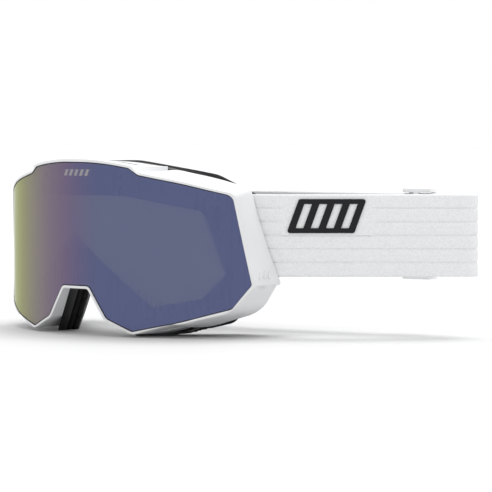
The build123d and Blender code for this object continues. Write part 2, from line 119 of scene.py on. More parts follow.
sky_lamp = bpy.data.objects.new("broad_sky_lamp", bpy.data.lights.new("broad_sky_lamp", "SUN"))
sky_lamp.data.energy, sky_lamp.data.angle = LAMP_ENERGY, LAMP_SPREAD
sky_lamp.rotation_euler = (LAMP_TARGET - LAMP_PLACE).to_track_quat("-Z", "Y").to_euler()
bpy.context.scene.collection.objects.link(sky_lamp)

world = bpy.data.worlds.new("bright_room")
bpy.context.scene.world = world
world.use_nodes = True
world.node_tree.nodes["Background"].inputs["Color"].default_value = (1.0, 1.0, 1.0, 1.0)
world.node_tree.nodes["Background"].inputs["Strength"].default_value = 1.0
bpy.context.scene.view_settings.view_transform = "Standard"

# %% [markdown]
# ## A short way to write materials
# A material is a net of nodes. Here one class stands for a socket, so that a sum of patterns
# reads as a sum, and another stands for the whole finish and adds any node in one call. A
# number that is the same all over goes straight to the shader's own socket.

# %% Material helpers
class Tone:
    """One output socket. Arithmetic on it adds the Math node that does the sum."""

    def __init__(self, finish, socket):
        self.finish, self.socket = finish, socket

    def sum(self, operation, first, second=None):
        inputs = {0: first} if second is None else {0: first, 1: second}
        return self.finish.node("Math", {"operation": operation}, inputs)

    def __add__(self, other):
        return self.sum("ADD", self, other)

    def __sub__(self, other):
        return self.sum("SUBTRACT", self, other)

    def __rsub__(self, other):
        return self.sum("SUBTRACT", other, self)

    def __mul__(self, other):
        return self.sum("MULTIPLY", self, other)

    def __abs__(self):
        return self.sum("ABSOLUTE", self)

    __radd__ = __add__
    __rmul__ = __mul__

    def wave(self):
        return self.sum("SINE", self)

    def step_over(self, limit, softness):
        """0 below the limit, 1 above it, with a soft edge."""
        sides = {0: self, 1: limit - softness, 2: limit + softness, 3: 0.0, 4: 1.0}
        return self.finish.node("MapRange", {"interpolation_type": "SMOOTHSTEP"}, sides)


class Finish:
    """One material, built round a Principled shader."""

    def __init__(self, name, **constants):
        self.material = bpy.data.materials.new(name)
        self.material.use_nodes = True
        self.tree = self.material.node_tree
        self.shader = self.tree.nodes["Principled BSDF"]
        self.feed(**constants)

    def plug(self, socket, value):
        if isinstance(value, Tone):
            self.tree.links.new(value.socket, socket)
        elif isinstance(value, tuple) and len(value) == 3 and len(socket.default_value) == 4:
            socket.default_value = (*value, 1.0)
        else:
            socket.default_value = value

    def node(self, kind, settings=None, inputs=None, output=0):
        made = self.tree.nodes.new("ShaderNode" + kind)
        for key, value in (settings or {}).items():
            setattr(made, key, value)
        for key, value in (inputs or {}).items():
            self.plug(made.inputs[key], value)
        return Tone(self, made.outputs[output])

    def feed(self, **sockets):
        """base_color=... goes to Base Color, and so on."""
        for key, value in sockets.items():
            self.plug(self.shader.inputs[key.replace("_", " ").title().replace("Ior", "IOR")], value)

    def place(self):
        return self.node("TexCoord", output="Object")

    def noise(self, where, scale, detail=2.0, rough=0.5):
        inputs = {"Vector": where, "Scale": scale, "Detail": detail, "Roughness": rough}
        return self.node("TexNoise", None, inputs)

    def cells(self, where, scale):
        return self.node("TexVoronoi", {"feature": "F1"}, {"Vector": where, "Scale": scale})

    def split(self, where):
        spread = self.tree.nodes.new("ShaderNodeSeparateXYZ")
        self.plug(spread.inputs[0], where)
        return [Tone(self, out) for out in spread.outputs]

    def blend(self, share, first, second):
        return self.node("Mix", {"data_type": "RGBA"}, {0: share, 6: first, 7: second}, output=2)

    def bump(self, height, depth):
        """depth is how tall a height of 1 stands, in metres."""
        self.feed(normal=self.node("Bump", None, {"Height": height, "Distance": depth, "Strength": 1.0}))


def wear(piece, finish):
    """Gives a piece, or a CAD node by name, one finish all over."""
    piece = nodes[piece] if isinstance(piece, str) else piece
    if not piece.data.materials:
        piece.data.materials.append(finish.material)
    for number in range(len(piece.data.materials)):
        piece.data.materials[number] = finish.material


print("helpers ready")

# %% [markdown]
# ## White moulded plastic
# The shell and the sliders come out of a steel mould, whose surface is blasted to a fine satin.
# So the plastic is nearly even in colour, with a very small grain that softens its reflections.

# %% Shell and slider plastic
def moulded(name, pale, dull, grain_depth, **constants):
    finish = Finish(name, **constants)
    where = finish.place()
    cloud = finish.noise(where, 35.0, 3.0)
    grain = finish.noise(where, 2600.0, 2.0, 0.6)
    finish.feed(base_color=finish.blend(cloud.step_over(0.5, 0.2), pale, dull))
    finish.feed(roughness=0.30 + 0.10 * cloud + 0.06 * grain)
    finish.bump(grain, grain_depth)
    return finish


shell_white = moulded(
    "shell_white", (0.76, 0.765, 0.775), (0.735, 0.74, 0.752), 0.012 * MM,
    coat_weight=0.08, coat_roughness=0.3,
)
slider_white = moulded(
    "slider_white", (0.88, 0.885, 0.89), (0.85, 0.855, 0.86), 0.006 * MM, coat_weight=0.25,
)
carrier_black = moulded(
    "carrier_black", (0.008, 0.008, 0.009), (0.005, 0.005, 0.006), 0.02 * MM, specular_ior_level=0.3,
)

floor_pale = Finish("floor_pale", roughness=0.75)
drift = floor_pale.noise(floor_pale.place(), 3.0)
floor_pale.feed(base_color=floor_pale.blend(drift, (0.62, 0.62, 0.625), (0.64, 0.64, 0.64)))
wear(floor, floor_pale)

# %% [markdown]
# ## The mirrored lens
# A clear lens is coated in a vacuum with a few layers, each thinner than a wavelength of light.
# Seen square on, the layers send back a dark violet-blue. Seen at a glancing angle they send
# back nearly everything, tinted yellow-green. A metal shader does the same when its glancing
# tint is set apart from its face-on colour, so three metal shaders are laid over each other, and
# the viewing angle sets their shares. The coat is partly see-through too. On real goggles the
# opening behind the lens shows as a lighter patch. Here that patch is painted into the colour by
# position: straight edges, mirrored about the nose, and a brow edge that bends down on each side.
# A row of small slanted bars is etched at the top, in dull grey.

# %% Lens finishes
ETCH_Z, ETCH_HALF_TALL, ETCH_HALF_LONG = 80.3 * MM, 1.6 * MM, 9.0 * MM
ETCH_PITCH, ETCH_LEAN, ETCH_EDGE = 3.6 * MM, 0.45, 0.1 * MM
LENS_CENTRE = (0.0, 82.0 * MM, 0.0)
SEE_THROUGH, STRAW_SEE_THROUGH = 0.75, 0.9

# The brow edge of the patch is level, and falls by this share of the way out past the bend.
BROW_LEVEL, BROW_BEND, BROW_FALL = 69.3 * MM, 30 * MM, 0.20
PATCH_EDGE, BEND_EDGE = 0.35 * MM, 1 * MM

# The other edges: a point on each, in millimetres out from the nose and up from the table, and
# the direction in which it is crossed on the way out of the patch.
PATCH_EDGES = {
    "temple": ((74.6, 31.5), (1.0, 0.28)),
    "outer corner": ((72.0, 28.0), (0.81, -0.59)),
    "cheek": ((50.0, 16.2), (0.21, -1.0)),
    "nose": ((25.5, 30.5), (-0.62, -0.78)),
}

# Each glancing layer: its largest share, and the middle and half width of the rise to it.
MAUVE_MOST, MAUVE_RISE = 0.9, (0.29, 0.11)
STRAW_MOST, STRAW_RISE = 0.95, (0.56, 0.28)


def add_layer(finish, name, share, **sockets):
    """Mixes one more Principled shader over what the finish already shows."""
    layer = finish.tree.nodes.new("ShaderNodeBsdfPrincipled")
    layer.name = name
    for key, value in sockets.items():
        finish.plug(layer.inputs[key.replace("_", " ").title()], value)
    surface = finish.tree.nodes["Material Output"].inputs["Surface"]
    under = Tone(finish, surface.links[0].from_socket)
    over = Tone(finish, layer.outputs[0])
    finish.plug(surface, finish.node("MixShader", None, {0: share, 1: under, 2: over}))


lens_mirror = Finish("lens_mirror", metallic=1.0, specular_tint=(0.5, 0.5, 0.7), alpha=SEE_THROUGH)
on_lens = lens_mirror.place()
across, _, height = lens_mirror.split(on_lens)
lean = across - (height - ETCH_Z) * ETCH_LEAN
bars = (lean * (2 * pi / ETCH_PITCH)).wave().step_over(-0.1, 0.25)
in_row = 1 - abs(height - ETCH_Z).step_over(ETCH_HALF_TALL, ETCH_EDGE)
in_length = 1 - abs(lean).step_over(ETCH_HALF_LONG, ETCH_EDGE)
etched = bars * in_row * in_length
film = lens_mirror.noise(on_lens, 14.0, 2.0)
sheen_rough = 0.04 + 0.45 * etched + 0.02 * film

# The lighter patch is painted light: the glow of the opening behind the lens, painted into the colour by
# position.
side = abs(across)
past_bend = side - BROW_BEND
brow = height + BROW_FALL * past_bend * past_bend.step_over(0.0, BEND_EDGE)
see_through_patch = 1 - brow.step_over(BROW_LEVEL, PATCH_EDGE)
for (out_at, up_at), (out_share, up_share) in PATCH_EDGES.values():
    crossed = out_share * (side - out_at * MM) + up_share * (height - up_at * MM)
    see_through_patch = see_through_patch * (1 - crossed.step_over(0.0, PATCH_EDGE))
face_on = lens_mirror.blend(film, (0.112, 0.132, 0.256), (0.120, 0.140, 0.268))
face_on = lens_mirror.blend(see_through_patch, face_on, (0.145, 0.163, 0.268))
lens_mirror.feed(base_color=lens_mirror.blend(etched, face_on, (0.40, 0.39, 0.40)), roughness=sheen_rough)
glance = lens_mirror.node("LayerWeight", None, {"Blend": 0.5}, output=1)
add_layer(
    lens_mirror, "mauve_layer", MAUVE_MOST * glance.step_over(*MAUVE_RISE) * (1 - etched),
    base_color=(0.195, 0.14, 0.235), specular_tint=(0.6, 0.45, 0.6),
    roughness=sheen_rough, metallic=1.0, alpha=SEE_THROUGH,
)
add_layer(
    lens_mirror, "straw_layer", STRAW_MOST * glance.step_over(*STRAW_RISE) * (1 - etched),
    base_color=(0.36, 0.36, 0.25), specular_tint=(0.72, 0.76, 0.5),
    roughness=sheen_rough, metallic=1.0, alpha=STRAW_SEE_THROUGH,
)

second_lens = Finish("second_lens", metallic=1.0, alpha=0.7)
breath = second_lens.noise(second_lens.place(), 60.0)
second_lens.feed(base_color=second_lens.blend(breath, (0.72, 0.78, 0.70), (0.80, 0.86, 0.76)))
second_lens.feed(roughness=0.06 + 0.05 * breath)

# %% [markdown]
# ## Foam, fleece and rubber
# Open-cell foam is a froth of burst bubbles, so each pore is a small pit, sunk by the bump and
# painted darker as painted shade. Closed-cell foam tape has the same bubbles with their skins
# on, and the same painted shade in its pits. Fleece is a felt of fine loops that catches light
# along its edges, which the shader's sheen does.

# %% Soft black finishes
def porous(name, pale, pit_shade, pore, depth, **constants):
    finish = Finish(name, **constants)
    where = finish.place()
    pits = finish.cells(where, 1 / pore)
    lumps = finish.noise(where, 0.25 / pore, 3.0)
    # The pits take the darker colour: painted shade, on top of the sunk bump.
    finish.feed(base_color=finish.blend(pits.step_over(0.45, 0.3), pit_shade, pale))
    finish.feed(roughness=0.85 + 0.12 * lumps)
    finish.bump(pits * -1.0 + 0.8 * lumps, depth)
    return finish


foam_soft = porous(
    "foam_soft", (0.006, 0.006, 0.008), (0.001, 0.001, 0.0015), 0.75 * MM, 0.28 * MM, specular_ior_level=0.25,
)
foam_firm = porous(
    "foam_firm", (0.009, 0.009, 0.011), (0.002, 0.002, 0.0025), 0.5 * MM, 0.18 * MM, specular_ior_level=0.25,
)
foam_open = porous("foam_open", (0.05, 0.05, 0.054), (0.003, 0.003, 0.003), 1.3 * MM, 0.7 * MM)
tape_black = porous("tape_black", (0.016, 0.016, 0.018), (0.009, 0.009, 0.01), 0.3 * MM, 0.03 * MM)

fleece_black = Finish("fleece_black", sheen_weight=0.25, sheen_roughness=0.4, roughness=0.95)
nap = fleece_black.noise(fleece_black.place(), 1500.0, 4.0, 0.7)
tufts = fleece_black.noise(fleece_black.place(), 320.0, 2.0)
fleece_black.feed(base_color=fleece_black.blend(nap, (0.012, 0.012, 0.014), (0.05, 0.05, 0.055)))
fleece_black.bump(nap + 0.7 * tufts, 0.35 * MM)

badge_rubber = Finish("badge_rubber", specular_ior_level=0.25)
dust = badge_rubber.noise(badge_rubber.place(), 900.0, 3.0)
badge_rubber.feed(base_color=badge_rubber.blend(dust, (0.004, 0.004, 0.006), (0.009, 0.009, 0.013)))
badge_rubber.feed(roughness=0.42 + 0.2 * dust)
badge_rubber.bump(dust, 0.02 * MM)

# %% [markdown]
# ## Small metal and clear pieces
# The pins are drawn steel wire and the shell's magnets are nickel plated. The lens's own magnets
# wear the tape's black, so that they don't show through the mirror. The grip lines on the
# strap's inner face are clear silicone, laid on as a bead.

# %% Metal, silicone and thread
plated = Finish("plated", metallic=1.0)
streaks = plated.noise(plated.place(), 800.0, 3.0)
plated.feed(base_color=plated.blend(streaks, (0.55, 0.55, 0.56), (0.68, 0.67, 0.65)))
plated.feed(roughness=0.22 + 0.15 * streaks)

silicone = Finish("silicone", alpha=0.75, specular_ior_level=0.6)
haze = silicone.noise(silicone.place(), 300.0)
silicone.feed(base_color=silicone.blend(haze, (0.62, 0.64, 0.66), (0.74, 0.75, 0.77)))
silicone.feed(roughness=0.18 + 0.15 * haze)

thread_white = Finish("thread_white", sheen_weight=0.2)
twist = thread_white.noise(thread_white.place(), 3000.0)
thread_white.feed(base_color=thread_white.blend(twist, (0.66, 0.67, 0.69), (0.84, 0.85, 0.86)))
thread_white.feed(roughness=0.7 + 0.2 * twist)

# %% [markdown]
# ## Woven elastic
# The strap is woven with rubber threads inside, so its face is a field of tiny raised stitches
# in wavering rows, uneven in height and tone, with a fine speckle of loose fibre over them. The
# pattern has to follow the strap round its bends, so it reads the strap's own UV map, which is
# measured in metres along and across.

# %% Strap finish
STITCH_LONG, STITCH_WIDE = 1.3 * MM, 0.62 * MM

elastic_white = Finish("elastic_white", sheen_weight=0.2, sheen_roughness=0.5)
on_strap = elastic_white.node("UVMap", {"uv_map": "strap"})
waver = elastic_white.noise(on_strap, 260.0, 3.0)
along, over, _ = elastic_white.split(on_strap)
rows = (over * (2 * pi / STITCH_WIDE) + 5.0 * waver).wave()
beat = (along * (2 * pi / STITCH_LONG) + 2.2 * rows + 7.0 * waver).wave()
fuzz = elastic_white.noise(on_strap, 1300.0, 4.0, 0.7)
speckle = 1 - elastic_white.cells(on_strap, 1100.0)
stitch = 0.5 + 0.15 * rows + 0.25 * beat
tone = (0.3 * stitch + 0.45 * fuzz + 0.35 * speckle).step_over(0.56, 0.24)
elastic_white.feed(base_color=elastic_white.blend(tone, (0.76, 0.765, 0.775), (0.86, 0.865, 0.875)))
elastic_white.feed(roughness=0.8 + 0.12 * fuzz)
elastic_white.bump(stitch + 0.9 * fuzz + 0.8 * speckle, 0.09 * MM)
print("finishes:", len(bpy.data.materials))

# %% [markdown]
# ## Finishing the hard pieces
# A moulded edge is never a perfect corner. The CAD faces are loose triangles, so a Weld modifier
# joins them and a Bevel modifier then rounds whatever is sharper than a shallow bend. Neither
# touches the frame's own mesh.

# %% Round the moulded edges
WELD = 0.002 * MM  # points closer than this are one
ROUND_OVER, ROUND_STEPS = radians(32), 2


def soften(name, width):
    piece = nodes[name]
    weld = piece.modifiers.new("weld", "WELD")
    weld.merge_threshold = WELD
    bevel = piece.modifiers.new("round", "BEVEL")
    bevel.width, bevel.segments = width, ROUND_STEPS
    bevel.limit_method, bevel.angle_limit = "ANGLE", ROUND_OVER
    bevel.harden_normals = True
    bevel.use_clamp_overlap = True
    for face in piece.data.polygons:
        face.use_smooth = True


HARD = [
    ("frame_shell", shell_white, 0.35 * MM),
    ("foam_carrier", carrier_black, 0.3 * MM),
    ("lens_inner", second_lens, 0.1 * MM),
    ("lens_gasket", tape_black, 0.15 * MM),
    ("slider_left", slider_white, 0.3 * MM),
    ("slider_right", slider_white, 0.3 * MM),
    ("strap_badge", badge_rubber, 0.15 * MM),
    ("strap_pin_left", plated, 0.2 * MM),
    ("strap_pin_right", plated, 0.2 * MM),
    ("lens_magnets", tape_black, 0.15 * MM),
    ("frame_magnets", plated, 0.15 * MM),
]
for name, finish, width in HARD:
    soften(name, width)
    wear(name, finish)
print("hard pieces:", len(HARD))

# %% [markdown]
# ## A true curve for the lens
# A mirror shows every unevenness, and the lens's net is cut into long thin triangles that make
# its reflections jagged. So a copy is sliced into narrow upright strips and level bands, and the
# points that lie near either face are set on its true radius. The rim's edges are marked sharp,
# so they don't bend the shading.

# %% Lens
LENS_RADIUS, LENS_THICK = 112 * MM, 1.4 * MM
STRIP, STRIPS_EACH_WAY = 2 * MM, 42
NEAR_FACE = 0.12 * MM  # a point this close to either face belongs on it
SHARP = radians(30)


def true_lens(name, node, finish):
    skin = bmesh.new()
    skin.from_mesh(nodes[node].data)
    bmesh.ops.remove_doubles(skin, verts=skin.verts, dist=WELD)
    for number in range(-STRIPS_EACH_WAY, STRIPS_EACH_WAY + 1):
        facings = [(1, 0, 0), (0, 0, 1)] if number % 2 else [(1, 0, 0)]
        for facing in facings:
            everything = skin.verts[:] + skin.edges[:] + skin.faces[:]
            spot = Vector(facing) * (number * STRIP)
            bmesh.ops.bisect_plane(skin, geom=everything, plane_co=spot, plane_no=facing, dist=WELD)
    for vert in skin.verts:
        arm = Vector((vert.co.x, vert.co.y - LENS_CENTRE[1]))
        for true in (LENS_RADIUS, LENS_RADIUS - LENS_THICK):
            if abs(arm.length - true) < NEAR_FACE:
                vert.co.x = arm.x * true / arm.length
                vert.co.y = LENS_CENTRE[1] + arm.y * true / arm.length
                break
    skin.normal_update()
    for edge in skin.edges:
        edge.smooth = edge.calc_face_angle(0.0) < SHARP
    piece = mesh_from(skin, name)
    wear(piece, finish)
    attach(piece, "lens")
    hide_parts(node)
    print(name, len(piece.data.polygons), "faces")
    return piece


mirror_lens = true_lens("mirror_lens", "lens_outer", lens_mirror)

# %% [markdown]
# ## The dark line round the lens
# A thin black line runs all round the lens. It is shade along the lens's own edge, and here it
# is painted shade made as a piece: a black strip built from the lens's own rim. The faces that
# form its edge are kept, moved forwards a little so that the strip stands just proud, and given
# thickness to both sides.

# %% Edge shade strip
EDGE_SHADE_THICK, EDGE_SHADE_PROUD = 0.46 * MM, 0.12 * MM


def along_radius(face):
    """The radius times how squarely the face looks along it: small on the rim."""
    middle = face.calc_center_median()
    return abs(face.normal.x * middle.x + face.normal.y * (middle.y - LENS_CENTRE[1]))


# A black strip on the lens's rim: painted shade for the dark line along the edge.
edge_shade_rim = bmesh.new()
edge_shade_rim.from_mesh(mirror_lens.data)
broad_faces = [face for face in edge_shade_rim.faces if along_radius(face) > 0.5 * LENS_RADIUS]
bmesh.ops.delete(edge_shade_rim, geom=broad_faces, context="FACES")
bmesh.ops.translate(edge_shade_rim, verts=edge_shade_rim.verts, vec=(0, -EDGE_SHADE_PROUD, 0))
edge_shade_strip = mesh_from(edge_shade_rim, "lens_edge_shade_strip")
wear(edge_shade_strip, tape_black)
wall = edge_shade_strip.modifiers.new("wall", "SOLIDIFY")
wall.thickness, wall.offset = EDGE_SHADE_THICK, 0.0
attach(edge_shade_strip, "lens")
print("seal faces:", len(edge_shade_strip.data.polygons))

# %% [markdown]
# ## Raised marks on the side bands
# Low on each side band stand three small slanted ridges, moulded with the shell. Each is a box
# with rounded edges. A ray sent at the shell finds the spot and its slope, so that it stands
# square to the surface with its lower half sunk in.

# %% Band marks
MARK_PLACES, MARK_LEVEL = (13.0 * MM, 15.8 * MM, 18.6 * MM), 31.0 * MM
MARK_TALL, MARK_WIDE, MARK_PROUD, MARK_ROUND = 4.2 * MM, 1.1 * MM, 0.7 * MM, 0.3 * MM
MARK_LEAN = Vector((0, 0.5, 1))
RAY_START_X = 0.15

marks = bmesh.new()
shell_faces = bmesh.new()
shell_faces.from_mesh(nodes["frame_shell"].data)
shell_tree = BVHTree.FromBMesh(shell_faces)
for along_band in MARK_PLACES:
    ray_start = Vector((RAY_START_X, along_band, MARK_LEVEL))
    spot, slope, _, _ = shell_tree.ray_cast(ray_start, Vector((-1, 0, 0)))
    up = (MARK_LEAN - slope * slope.dot(MARK_LEAN)).normalized()
    stand = Matrix((slope.cross(up), up, slope)).transposed().to_4x4()
    size = Matrix.Diagonal((MARK_WIDE, MARK_TALL, 2 * MARK_PROUD, 1.0))
    bmesh.ops.create_cube(marks, size=1.0, matrix=Matrix.Translation(spot) @ stand @ size)
shell_faces.free()
bmesh.ops.bevel(
    marks, geom=marks.edges[:], offset=MARK_ROUND, segments=3, profile=0.5, material=-1, affect="EDGES",
)
bmesh.ops.mirror(marks, geom=marks.verts[:] + marks.edges[:] + marks.faces[:], merge_dist=0, axis="X")
bmesh.ops.recalc_face_normals(marks, faces=marks.faces)
band_marks = mesh_from(marks, "band_marks")
wear(band_marks, shell_white)
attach(band_marks, "goggles")
print("band marks:", len(band_marks.data.polygons), "faces")

# %% [markdown]
# ## Foam and fleece
# The foam is cut from a block and skinned at its edges, so its corners are round and its layers
# bulge a little between the glue lines. Each layer starts as a copy of its CAD solid, is rebuilt
# as an even net of small squares, relaxed until its corners are soft, and swelled a little.

# %% Soft layers
def relaxed(name, node, cell, rounds, finish, swell=0.0):
    copy = bmesh.new()
    copy.from_mesh(nodes[node].data)
    bmesh.ops.remove_doubles(copy, verts=copy.verts, dist=WELD)
    block = mesh_from(copy, name + "_block")
    net = block.modifiers.new("net", "REMESH")
    net.mode, net.voxel_size = "VOXEL", cell
    bpy.context.view_layer.update()
    finished = block.evaluated_get(bpy.context.evaluated_depsgraph_get())
    netted = bpy.data.meshes.new_from_object(finished)
    bpy.data.objects.remove(block)
    soft = bmesh.new()
    soft.from_mesh(netted)
    bpy.data.meshes.remove(netted)
    for _ in range(rounds):
        bmesh.ops.smooth_vert(
            soft, verts=soft.verts, factor=0.5, use_axis_x=True, use_axis_y=True, use_axis_z=True,
        )
    soft.normal_update()
    for vert in soft.verts:
        vert.co += vert.normal * swell
    piece = mesh_from(soft, name)
    wear(piece, finish)
    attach(piece, "goggles")
    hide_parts(node)
    print(name, len(piece.data.polygons), "faces")
    return piece


relaxed("firm_foam", "foam_base", 0.9 * MM, 7, foam_firm, 0.25 * MM)
relaxed("soft_foam", "foam_face", 0.9 * MM, 11, foam_soft, 0.35 * MM)
relaxed("fleece_lining", "foam_fleece", 0.6 * MM, 4, fleece_black, 0.12 * MM)
relaxed("brow_vent_foam", "vent_foam_top", 0.8 * MM, 2, foam_open)
relaxed("cheek_vent_foam", "vent_foam_cheeks", 0.8 * MM, 2, foam_open)

# %% [markdown]
# ## The strap's route
# In plan the strap is straight runs joined by arcs: out of the shell, along to the fold, and back
# behind the foam. One class walks that route and gives the place and heading at any distance
# along it, so that a flat ribbon can be laid along it.

# %% Route
class Route:
    """Straight runs joined by arcs, in plan."""

    def __init__(self, points, radii):
        points = [Vector(p) * MM for p in points]
        self.legs = []
        here = points[0]
        for number, radius in enumerate(radii):
            corner, after = points[number + 1], points[number + 2]
            into, out = (corner - points[number]).normalized(), (after - corner).normalized()
            turn = atan2(into.x * out.y - into.y * out.x, into.dot(out))
            cut = radius * MM * tan(abs(turn) / 2)
            self.legs.append((here, into, (corner - into * cut - here).length, 0.0))
            self.legs.append((corner - into * cut, into, abs(turn) * radius * MM, turn))
            here = corner + out * cut
        last = points[-1] - here
        self.legs.append((here, last.normalized(), last.length, 0.0))
        self.length = sum(leg[2] for leg in self.legs)

    def at(self, distance):
        """Place and heading after that distance."""
        for start, way, length, turn in self.legs:
            if distance <= length or (start, way, length, turn) == self.legs[-1]:
                break
            distance -= length
        side = Vector((-way.y, way.x))
        if not turn:
            return start + way * distance, way
        radius, angle = length / abs(turn), turn * distance / length
        centre = start + side * radius * (1 if turn > 0 else -1)
        arm = start - centre
        square = Vector((-arm.y, arm.x))
        swung = arm * cos(angle) + square * sin(angle)
        return centre + swung, way * cos(angle) + side * sin(angle)

    def stations(self, step, arc_step):
        """Distances for the ribbon's cross rows, closer together in the arcs."""
        marks, done = [0.0], 0.0
        for _, _, length, turn in self.legs:
            count = max(1, round(length / (arc_step if turn else step)))
            marks += [done + length * (k + 1) / count for k in range(count)]
            done += length
        return marks


def heading(degrees):
    return Vector((cos(radians(degrees)), sin(radians(degrees))))


# The route's own places are in millimetres.
REAR_CORNER_X, PIN_X = 87.2, 67.6
SHELL_REAR_Y, SHELL_REAR_R = -6.0, 138.0
PIN_BEHIND, EXIT_BEHIND, EXIT_ASIDE = 1.6, 2.0, 0.7
NEAR_RUN, FOLD_RUN = 92.6, 7.0
LEAD_IN = 0.15  # share of the first run that lies before the pin
LEFT_RADII, RIGHT_RADII = [20.0, 4.4, 4.4], [4.0, 12.0, 12.0]


def shell_rear_y(x):
    return SHELL_REAR_Y + SHELL_REAR_R - sqrt(SHELL_REAR_R**2 - x**2)


STRAP_START = Vector((PIN_X, shell_rear_y(PIN_X) + PIN_BEHIND))
STRAP_EXIT = Vector((REAR_CORNER_X + EXIT_ASIDE, shell_rear_y(REAR_CORNER_X) + EXIT_BEHIND))
NEAR_HEADING, FAR_HEADING = 42.7, 189.7
FOLD_NEAR = STRAP_EXIT + heading(NEAR_HEADING) * NEAR_RUN
FOLD_FAR = FOLD_NEAR + heading((NEAR_HEADING + FAR_HEADING) / 2) * FOLD_RUN
TURN_BACK, TURN_OUT_X = Vector((-97.5, 36.0)), -90.0
SLIDER_A, SLIDER_B, OVERLAP, PLY = 32.0, 156.5, 18.0, 2.3


def far_point(distance, aside=0.0):
    return FOLD_FAR + heading(FAR_HEADING) * distance + heading(FAR_HEADING + 90) * aside


def before(start, leave):
    """A point a little before the start, in line with the first run."""
    return start - (leave - start) * LEAD_IN


left_end, right_end = far_point(SLIDER_A + OVERLAP), far_point(SLIDER_B - OVERLAP)
left_route = Route(
    [before(STRAP_START, STRAP_EXIT), STRAP_EXIT, FOLD_NEAR, FOLD_FAR, left_end], LEFT_RADII,
)
flip = Vector((-1, 1))
right_start, right_exit = STRAP_START * flip, STRAP_EXIT * flip
turn_out = far_point((FOLD_FAR.x - TURN_OUT_X) / abs(heading(FAR_HEADING).x))
right_route = Route(
    [before(right_start, right_exit), right_exit, TURN_BACK, turn_out, right_end], RIGHT_RADII,
)
rear_route = Route([far_point(SLIDER_A - OVERLAP, PLY), far_point(SLIDER_B + OVERLAP, PLY)], [])
for name, route in (("left", left_route), ("right", right_route), ("rear", rear_route)):
    print(name, "strap is", round(route.length * 1000, 1), "mm long")

# %% [markdown]
# ## The ribbed strap
# Six flat ribs run along the strap with a narrow groove between each pair, and the two edges are
# rounded. On the near side the upper grooves stop for a smooth field that the badge sits on. The
# ribbon is a grid that is given thickness, moved into the ribbed section, and laid on its route.

# %% Strap sections
STRAP_MID_Z, STRAP_WIDE, STRAP_THICK = 49.85 * MM, 40.3 * MM, 1.8 * MM
RIB, RIB_SHIFT = 6.65 * MM, 0.15 * MM
GROOVES = [(k - 2) * RIB + RIB_SHIFT for k in range(5)]
GROOVE_DEPTH, GROOVE_HALF, RIB_CROWN = 0.42 * MM, 0.45 * MM, 0.30 * MM
BACK_SHARE, PLAIN_SHARE = 0.3, 0.35  # of that relief, on the back and on the plain strap
ROW_STEP, ROW_ARC_STEP = 1.6 * MM, 0.55 * MM
FIELD_FADE, FIELD_BEFORE, FIELD_AFTER = 1.5 * MM, 2 * MM, 43.7 * MM
START_SLANT, SLANT_REACH = 0.22, 26 * MM
LEAST_EDGE = 0.12  # keeps the rounded edge from closing to a knife


def across_marks():
    """Distances from the strap's middle of its lengthwise rows, closer at grooves and edges."""
    marks = {STRAP_WIDE / 2 * side * share for side in (1, -1) for share in (1, 0.994, 0.98, 0.955)}
    for rib in range(6):
        middle = (rib - 2.5) * RIB + RIB_SHIFT
        marks.update(middle + RIB * share for share in (-0.4, -0.28, -0.14, 0, 0.14, 0.28, 0.4))
    for groove in GROOVES:
        marks.update(groove + GROOVE_HALF * share for share in (-1, -0.5, 0, 0.5, 1))
    return sorted(marks)


def relief(across):
    """How far the face lies below its highest, from the ribs' crowns and the grooves."""
    nearest = min(abs(across - groove) for groove in GROOVES)
    groove = max(0.0, 1 - (nearest / GROOVE_HALF) ** 2)
    crown = max(0.0, 1 - nearest / (RIB / 2)) ** 2
    return GROOVE_DEPTH * groove + RIB_CROWN * crown


def ribbon(name, route, outward, start_slant=0.0, field=None, plain=False):
    """A strap along a route. outward is 1 where its face is on the right of the heading."""
    marks, rows = route.stations(ROW_STEP, ROW_ARC_STEP), across_marks()
    strip = bmesh.new()
    bmesh.ops.create_grid(strip, x_segments=len(marks) - 1, y_segments=len(rows) - 1, size=0.5)
    for vert in strip.verts:
        vert.co.x = round((vert.co.x + 0.5) * (len(marks) - 1))
        vert.co.y = round((vert.co.y + 0.5) * (len(rows) - 1))
    bmesh.ops.solidify(strip, geom=strip.faces[:], thickness=1.0)
    bmesh.ops.recalc_face_normals(strip, faces=strip.faces)
    middle = sum(vert.co.z for vert in strip.verts) / len(strip.verts)
    uv = strip.loops.layers.uv.new("strap")
    for face in strip.faces:
        for loop in face.loops:
            spot = loop.vert.co
            loop[uv].uv = (marks[round(spot.x)], rows[round(spot.y)])
    for vert in strip.verts:
        s, w = marks[round(vert.co.x)], rows[round(vert.co.y)]
        front = vert.co.z > middle
        edge = max(0.0, abs(w) - (STRAP_WIDE / 2 - STRAP_THICK / 2)) / (STRAP_THICK / 2)
        half = STRAP_THICK / 2 * sqrt(max(LEAST_EDGE, 1 - edge * edge))
        dip = relief(w)
        if field and field[0] < s < field[1] and w > 0:
            nearness = min(s - field[0], field[1] - s) / FIELD_FADE
            dip *= 1 - min(1.0, nearness)
        if plain:
            dip *= PLAIN_SHARE
        half -= dip if front else BACK_SHARE * dip
        trimmed = s + start_slant * (STRAP_WIDE / 2 - w) * max(0.0, 1 - s / SLANT_REACH)
        place, way = route.at(trimmed)
        out = Vector((way.y, -way.x)) * outward * (1 if front else -1)
        vert.co = Vector((place.x + out.x * half, place.y + out.y * half, STRAP_MID_Z + w))
    bmesh.ops.recalc_face_normals(strip, faces=strip.faces)
    piece = mesh_from(strip, name)
    wear(piece, elastic_white)
    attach(piece, "goggles")
    print(name, len(piece.data.polygons), "faces")
    return piece


